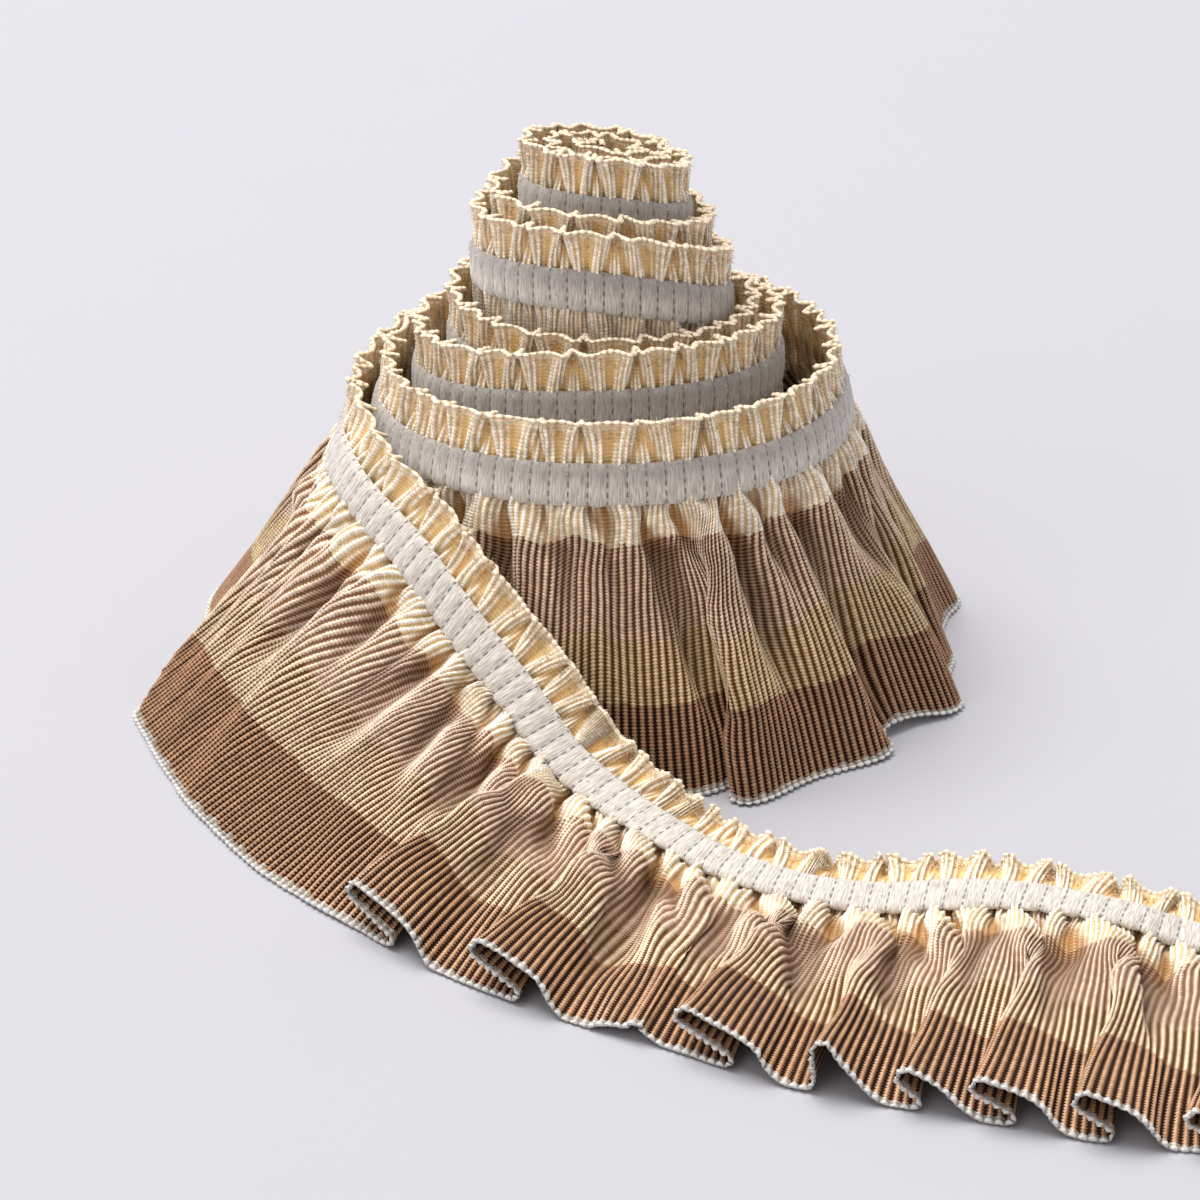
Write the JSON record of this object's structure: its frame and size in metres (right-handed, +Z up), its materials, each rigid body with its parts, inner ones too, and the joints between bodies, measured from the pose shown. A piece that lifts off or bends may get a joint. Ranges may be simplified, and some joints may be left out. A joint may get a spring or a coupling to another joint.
{
  "type": "ruffled tape trim roll",
  "caption": "Gathered ribbed ribbon trim with a frilled header, a soft band and a striped ruffle, wound into a stepped roll with its loose end trailing.",
  "frame": {"origin": "centre of the base of the part's bounding box, on the surface it rests on", "axes": "+Z up, +Y to the back of the roll, +X to the right, where the loose end runs"},
  "size_m": [0.1304, 0.1596, 0.0642],
  "materials": {
    "striped_ribbon": "ribbed woven cloth, cream frill and mauve, gold and brown stripes along its length",
    "soft_band": "brushed soft pile, off-white"
  },
  "bodies": {
    "root": {"ruffle_roll": "striped_ribbon", "ruffle_tail": "striped_ribbon", "band_roll_1": "soft_band", "band_roll_2": "soft_band", "band_roll_3": "soft_band", "band_roll_4": "soft_band", "band_tail": "soft_band"}
  },
  "joints": []
}
